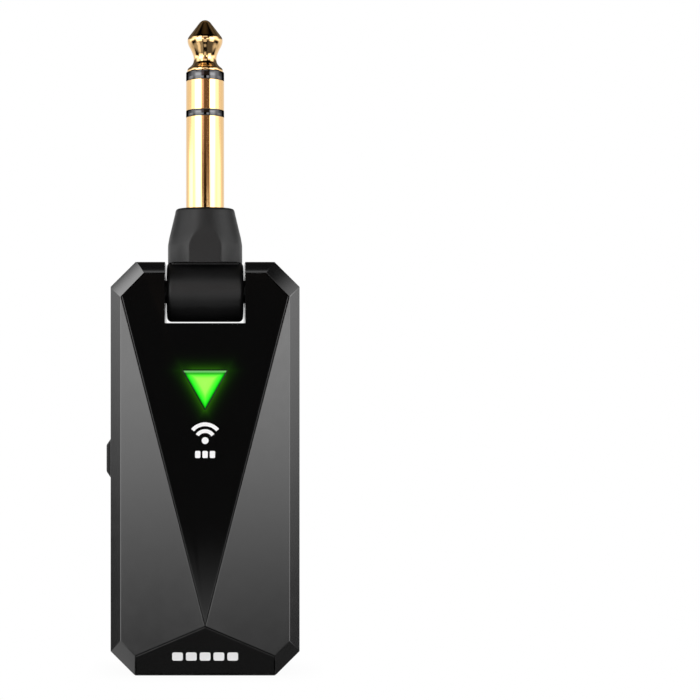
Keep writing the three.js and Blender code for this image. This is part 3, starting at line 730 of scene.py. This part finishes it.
def on_long_slant(start, end):
    """One of the long slanted edges where the window or the trim meets the shell."""
    run, rise = abs(start.x - end.x), abs(start.z - end.z)
    return min(run, rise) > 2 * MM and max(run, rise) > 10 * MM


def on_window_edge(start, end):
    """An edge of the window that catches a line of light."""
    return on_slot_edge(start, end) or on_long_slant(start, end)


front_shell = finish_piece(
    "front_shell", refined("front_cover", 0.07 * MM), SHELL, "housing", "shell_black", "front_cover"
)
crowned(front_shell, is_domed, facet_leans)
finish_piece(
    "rear_shell", refined("rear_cover", 0.12 * MM), SHELL, "housing", "shell_black", "rear_cover"
)
finish_piece(
    "v_window", refined("front_window", 0.04 * MM, on_window_edge, 0.12 * MM), WINDOW, "housing",
    "window_black", "front_window",
)
finish_piece(
    "chevron_trim", refined("lower_front_trim", 0.04 * MM, on_long_slant, 0.12 * MM), GLOSS,
    "housing", "window_black", "lower_front_trim",
)
finish_piece(
    "button_cap", refined("power_button", 0.2 * MM), MOULDING, "button", "moulding_black",
    "power_button",
)


def on_face(face, x, z):
    """Turns a flat drawing in (x, z) to lie on a front facet, centred at the given x and z."""
    point, normal = face
    y = point.y - (normal.x * (x - point.x) + normal.z * (z - point.z)) / normal.y
    turn = Vector((0, -1, 0)).rotation_difference(normal).to_matrix().to_4x4()
    return Matrix.Translation((x, y, z)) @ turn


LENS_SINK = 0.12 * MM
LENS_DEPTH = 1.9 * MM
LENS_BEVEL = 0.22 * MM


def lamp_lens():
    """The triangular lens, a little below the window's face."""
    height = LENS_TOP - LENS_TIP
    outline = [(0, -height), (LENS_HALF, 0), (-LENS_HALF, 0)]
    place = on_face(WINDOW_FACE, 0, LENS_TOP) @ Matrix.Translation((0, LENS_SINK, 0))
    shape = prism(outline, LENS_DEPTH, LENS_BEVEL, place, segments=1)
    finish_piece("lamp_diffuser", shape, LAMP, "housing", "lamp_green", "lamp_lens", smooth_angle=20)


lamp_lens()

# ---------------------------------------------------------------- printed marks

PRINT_THICKNESS = 0.02 * MM


def printed(name, face, finish, drawings):
    """Thin ink shapes on a facet; each drawing is (x, z, outline)."""
    lift = Matrix.Translation((0, -PRINT_THICKNESS, 0))
    shapes = [
        prism(outline, 1.5 * PRINT_THICKNESS, 0, on_face(face, x, z) @ lift)
        for x, z, outline in drawings
    ]
    finish_piece(name, joined(shapes), finish, "housing", None)


def wave(radius, stroke, half_angle):
    """A flat arc band centred straight above the origin."""
    inner = arc((0, 0), radius - stroke / 2, 90 - half_angle, 90 + half_angle, 20)
    outer = arc((0, 0), radius + stroke / 2, 90 + half_angle, 90 - half_angle, 20)
    return inner + outer


ICON_Z = 38.6 * MM
WAVE_STROKE = 0.61 * MM
printed("wireless_icon", WINDOW_FACE, PRINT, [
    (0, ICON_Z, arc((0, 0), 0.56 * MM, 0, 345, 23)),
    (0, ICON_Z, wave(1.55 * MM, WAVE_STROKE, 55)),
    (0, ICON_Z, wave(2.66 * MM, WAVE_STROKE, 50)),
])

BLOCK_Z = 36.35 * MM
BLOCK_PITCH = 1.2
BLOCK = rounded_box(0.86 * MM, 1.15 * MM, 0.18 * MM)
printed("role_marks", WINDOW_FACE, PRINT, [
    (step * BLOCK_PITCH * MM, BLOCK_Z, BLOCK) for step in (-1, 0, 1)
])

DASH_Z = 3.35 * MM
DASH_PITCH = 2.25
DASH = rounded_box(1.75 * MM, 1.45 * MM, 0.3 * MM)
printed("maker_marks", TRIM_FACE, PALE_PRINT, [
    (step * DASH_PITCH * MM, DASH_Z, DASH) for step in (-2, -1, 0, 1, 2)
])

# ---------------------------------------------------------------- plug base

BLOCK_FOOT = 67.78 * MM
BLOCK_SHOULDER = 71.1 * MM
BLOCK_TOP = BASE[1].z
BLOCK_HALF_DEPTH = (BASE[1].y - BASE[0].y) / 2
BLOCK_WIDE = 6.2 * MM
BLOCK_NARROW = 4.94 * MM
DEPTH_RATIO = 0.895
BARREL_RADIUS = HINGE.z - BASE[0].z
BARREL_HALF = BASE[1].x


def flattened(value, limit, softness):
    """value, held below limit by a rounded corner of about the given size."""
    over = (limit - abs(value)) / softness
    kept = limit - softness * (math.log1p(math.exp(-abs(over))) + max(over, 0))
    return math.copysign(max(kept, 0), value)


def base_block():
    """The oval block: a tapered oval whose front and back are cut flat, with a bore for the plug."""
    edge = 0.1 * MM
    top_edge = 0.55 * MM
    slope = (BLOCK_WIDE - BLOCK_NARROW) / (BLOCK_TOP - top_edge - BLOCK_SHOULDER)
    rows = [
        *arc((BLOCK_WIDE - edge, BLOCK_FOOT + edge), edge, -90, 0, 4),
        *smooth_line([
            (BLOCK_WIDE, BLOCK_SHOULDER - 1.0 * MM),
            (BLOCK_WIDE - 0.02 * MM, BLOCK_SHOULDER - 0.3 * MM),
            (BLOCK_WIDE - 0.12 * MM, BLOCK_SHOULDER + 0.35 * MM),
            (BLOCK_WIDE - 1.0 * MM * slope, BLOCK_SHOULDER + 1.0 * MM),
        ], 3),
        *[
            (BLOCK_WIDE - slope * (step / 2 * MM), BLOCK_SHOULDER + step / 2 * MM)
            for step in range(3, 11)
        ],
        *arc((BLOCK_NARROW - top_edge, BLOCK_TOP - top_edge), top_edge, 12, 90, 6),
    ]
    sides = 256
    build = bmesh.new()
    rings = []
    for radius, z in rows:
        ring = []
        for i in range(sides):
            angle = 2 * math.pi * (i + 0.5) / sides
            depth = flattened(radius * DEPTH_RATIO * math.sin(angle), BLOCK_HALF_DEPTH, 0.02 * MM)
            ring.append(build.verts.new((radius * math.cos(angle), HINGE.y + depth, z)))
        rings.append(ring)
    bore = PLUG_RADIUS + 0.04 * MM
    for z in (BLOCK_TOP, BLOCK_FOOT + 1.5 * MM):
        rings.append([
            build.verts.new((
                bore * math.cos(2 * math.pi * (i + 0.5) / sides),
                HINGE.y + bore * math.sin(2 * math.pi * (i + 0.5) / sides),
                z,
            ))
            for i in range(sides)
        ])
    join_rings(build, rings)
    build.faces.new(rings[-1])
    build.faces.new(rings[0])
    return build


def hinge_barrel():
    """The hollow barrel across the slot, with rounded ends."""
    fillet = 0.8 * MM
    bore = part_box("right_hinge_pin")[1].z - HINGE.z + 0.03 * MM
    profile = [
        (bore, -BARREL_HALF),
        *arc((BARREL_RADIUS - fillet, -BARREL_HALF + fillet), fillet, -90, 0, 8),
        *arc((BARREL_RADIUS - fillet, BARREL_HALF - fillet), fillet, 0, 90, 8),
        (bore, BARREL_HALF),
        (bore, -BARREL_HALF),
    ]
    return turned(profile, 128, (HINGE.y, HINGE.z), "X")


def base_neck():
    """The short web between the block and the barrel."""
    width, height, depth = 11.2 * MM, 3.6 * MM, 4.4 * MM
    middle = BLOCK_FOOT - height / 3
    place = Matrix.Translation((0, HINGE.y - depth / 2, middle))
    return prism(rounded_box(width, height, 0.4 * MM), depth, 0.3 * MM, place)


finish_piece(
    "plug_moulding", combined("UNION", base_block(), base_neck(), hinge_barrel()), MOULDING,
    "plug", "moulding_black", "plug_base", smooth_angle=28,
)

# ---------------------------------------------------------------- hinge and screws

HINGE_LINE = (HINGE.y, HINGE.z)
PIN_EDGE = 0.08 * MM
BUSH_NOSE = 0.1 * MM
BUSH_FLANGE = 0.5 * MM


def radii(node, low=-1.0, high=1.0):
    """The least and greatest distance from the hinge line of a CAD node's corners between two x."""
    reach = [
        math.hypot(v.co.y - HINGE.y, v.co.z - HINGE.z)
        for v in NODES[node].data.vertices
        if low < v.co.x < high
    ]
    return min(reach), max(reach)


for side, sign in (("left", -1), ("right", 1)):
    ends = [corner.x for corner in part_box(f"{side}_hinge_pin")]
    section = collar(*radii(f"{side}_hinge_pin"), *ends, PIN_EDGE)
    finish_piece(
        f"{side}_pin", turned(section, 96, HINGE_LINE, "X"), SCREW, "plug", "screw_black",
        f"{side}_hinge_pin",
    )
    near, far = sorted((corner.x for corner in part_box(f"{side}_hinge_bush")), key=abs)
    bore, wide = radii(f"{side}_hinge_bush")
    narrow = radii(f"{side}_hinge_bush", near - BUSH_NOSE, near + BUSH_NOSE)[1]
    shoulder = far - sign * BUSH_FLANGE
    section = [
        (bore, near), (narrow - BUSH_NOSE, near), (narrow, near + sign * BUSH_NOSE),
        (narrow, shoulder), (wide - PIN_EDGE, shoulder), (wide, shoulder + sign * PIN_EDGE),
        (wide, far - sign * PIN_EDGE), (wide - PIN_EDGE, far), (bore, far), (bore, near),
    ]
    finish_piece(
        f"{side}_bush", turned(section, 96, HINGE_LINE, "X"), NYLON, "housing", "nylon_white",
        f"{side}_hinge_bush",
    )


RECESS_LENGTH = 1.7
RECESS_WIDTH = 0.36
RECESS_TAPER = 0.72


def pan_head_screw(node):
    """A threaded shank under a domed head with a cross recess, seen from the back."""
    low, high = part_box(node)
    place = ((low.x + high.x) / 2, (low.z + high.z) / 2)
    head, top, tip = (high.x - low.x) / 2, high.y, low.y
    under, shank, pitch = top - 0.85 * MM, 0.8 * MM, 0.5 * MM
    profile = [(0, tip), (0.3 * MM, tip + 0.1 * MM)]
    height = tip + 0.6 * MM
    while height + pitch < under - 0.4 * MM:
        profile += [(shank * 0.8, height), (shank, height + pitch / 2)]
        height += pitch
    profile += [(shank * 0.8, height), (shank * 0.9, under), (head - 0.12 * MM, under)]
    profile += [(head, under + 0.12 * MM), (head, top - 0.42 * MM)]
    dome = [(0.93, -0.22), (0.78, -0.10), (0.55, -0.03), (0.3, -0.005), (0, 0)]
    profile += [(head * share, top + rise * MM) for share, rise in dome]
    body = turned(profile, 48, place, "Y")
    cuts = []
    for width, height in ((RECESS_LENGTH, RECESS_WIDTH), (RECESS_WIDTH, RECESS_LENGTH)):
        cut = bmesh.new()
        bmesh.ops.create_cube(cut, size=1.0)
        bmesh.ops.scale(cut, vec=(width * MM, 1.2 * MM, height * MM), verts=cut.verts)
        for vertex in cut.verts:
            if vertex.co.y < 0:
                vertex.co.x *= RECESS_TAPER
                vertex.co.z *= RECESS_TAPER
        bmesh.ops.translate(cut, verts=cut.verts, vec=(place[0], top + 0.1 * MM, place[1]))
        cuts.append(cut)
    return combined("DIFFERENCE", body, *cuts)


for i in range(1, 5):
    finish_piece(
        f"pan_head_screw_{i}", pan_head_screw(f"cover_screw_{i}"), SCREW, "housing", "screw_black",
        f"cover_screw_{i}",
    )

# ---------------------------------------------------------------- charging socket


STRIP_SIZE = (3.2 * MM, 0.05 * MM, 0.27 * MM)
STRIP_PITCH = 0.5
STRIP_LIFT = 0.35


def tongue_contacts():
    """Gold strips along both faces of the socket's tongue."""
    low, high = TONGUE
    x, y, z = high.x - 2.2 * MM, (low.y + high.y) / 2, (low.z + high.z) / 2
    strips = []
    for face in (-1, 1):
        for step in range(-5, 6):
            strip = bmesh.new()
            bmesh.ops.create_cube(strip, size=1.0)
            bmesh.ops.scale(strip, vec=STRIP_SIZE, verts=strip.verts)
            place = (x, y + face * STRIP_LIFT * MM, z + step * STRIP_PITCH * MM)
            bmesh.ops.translate(strip, verts=strip.verts, vec=place)
            strips.append(strip)
    return joined(strips)


finish_piece("tongue_contacts", tongue_contacts(), GOLD, "housing", "contact_gold")

# ---------------------------------------------------------------- plug contacts

CONTACT_EDGE = 0.06 * MM
CONTACT_BORE = PLUG_RADIUS * 0.5
for node, name, low, high, finish, record_slot in (
    ("plug_sleeve", "sleeve_contact", SLEEVE[0].z, SLEEVE[1].z, GOLD, "contact_gold"),
    ("lower_insulator", "lower_ring_insulator", SLEEVE[1].z, LOWER_RING[1].z, INSULATOR, "insulator_black"),
    ("plug_ring", "ring_contact", LOWER_RING[1].z, RING[1].z, GOLD, "contact_gold"),
    ("upper_insulator", "upper_ring_insulator", RING[1].z, UPPER_RING[1].z, INSULATOR, "insulator_black"),
):
    section = collar(CONTACT_BORE, PLUG_RADIUS, low, high, CONTACT_EDGE)
    finish_piece(name, turned(section, 160, PLUG_CENTRE), finish, "plug", record_slot, node)


def tip_contact():
    """The tip: a flared foot, a waist, a ridge and a blunt cone; heights are above its foot."""
    foot = UPPER_RING[1].z
    waist = smooth_line([
        (2.98, 0.42), (2.86, 0.66), (2.50, 0.96), (2.16, 1.32), (1.97, 1.72), (1.90, 2.22),
        (1.95, 2.75), (2.12, 3.25), (2.38, 3.84), (2.64, 4.32), (2.82, 4.72), (2.915, 5.12),
        (2.93, 5.44), (2.86, 5.74), (2.71, 6.00),
    ], 4)
    nose = smooth_line([(1.11, 8.10), (0.82, 8.45), (0.45, 8.70), (0.0, 8.81)], 5)
    profile = [(0, 0), (2.94, 0), (3.0, 0.06), (3.0, 0.30), *waist, *nose]
    scale = (TIP[1].z - foot) / nose[-1][1]
    placed = [(radius * MM, foot + height * scale) for radius, height in profile]
    return turned(placed, 160, PLUG_CENTRE)


finish_piece("tip_contact", tip_contact(), GOLD, "plug", "contact_gold", "plug_tip", smooth_angle=60)

# ---------------------------------------------------------------- carried-over CAD nodes

SOFT_EDGE = 0.05 * MM
record_slots = {row["node"]: row["material_slot"] for row in frame["record"]["subparts"]}
for node, carried in NODES.items():
    carried.data.materials.clear()
    carried.data.materials.append(SLOT_FINISH[record_slots[node]])
    softened = carried.modifiers.new("softened", "BEVEL")
    softened.width = SOFT_EDGE
    softened.segments = 2
    softened.limit_method = "ANGLE"
    softened.angle_limit = math.radians(50)
    softened.harden_normals = True
